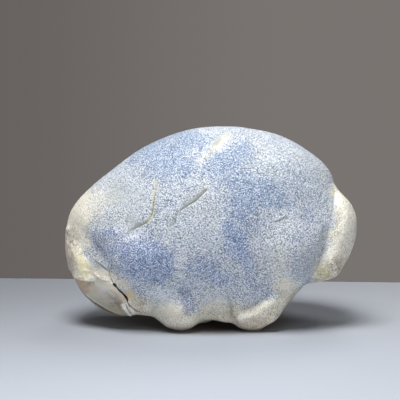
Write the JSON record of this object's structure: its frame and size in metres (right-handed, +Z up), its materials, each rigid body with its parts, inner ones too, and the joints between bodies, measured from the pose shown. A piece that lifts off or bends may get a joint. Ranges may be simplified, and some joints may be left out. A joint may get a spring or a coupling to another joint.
{
  "type": "polished chalcedony nodule",
  "caption": "Hand-sized rounded stone nodule with soft lobes, a rolled ridge at one end and small worn spots to rest on, satin polished.",
  "frame": {"origin": "on the table, below the middle of the stone's box", "axes": "+X from the blunt nose end to the rolled tail end, +Y from the front face to the back, +Z up"},
  "size_m": [0.1392, 0.0776, 0.0946],
  "materials": {
    "chalcedony": "satin polish over mottled blue-grey, white and cream stone"
  },
  "bodies": {
    "root": {"chalcedony_stone": "chalcedony"}
  },
  "joints": []
}
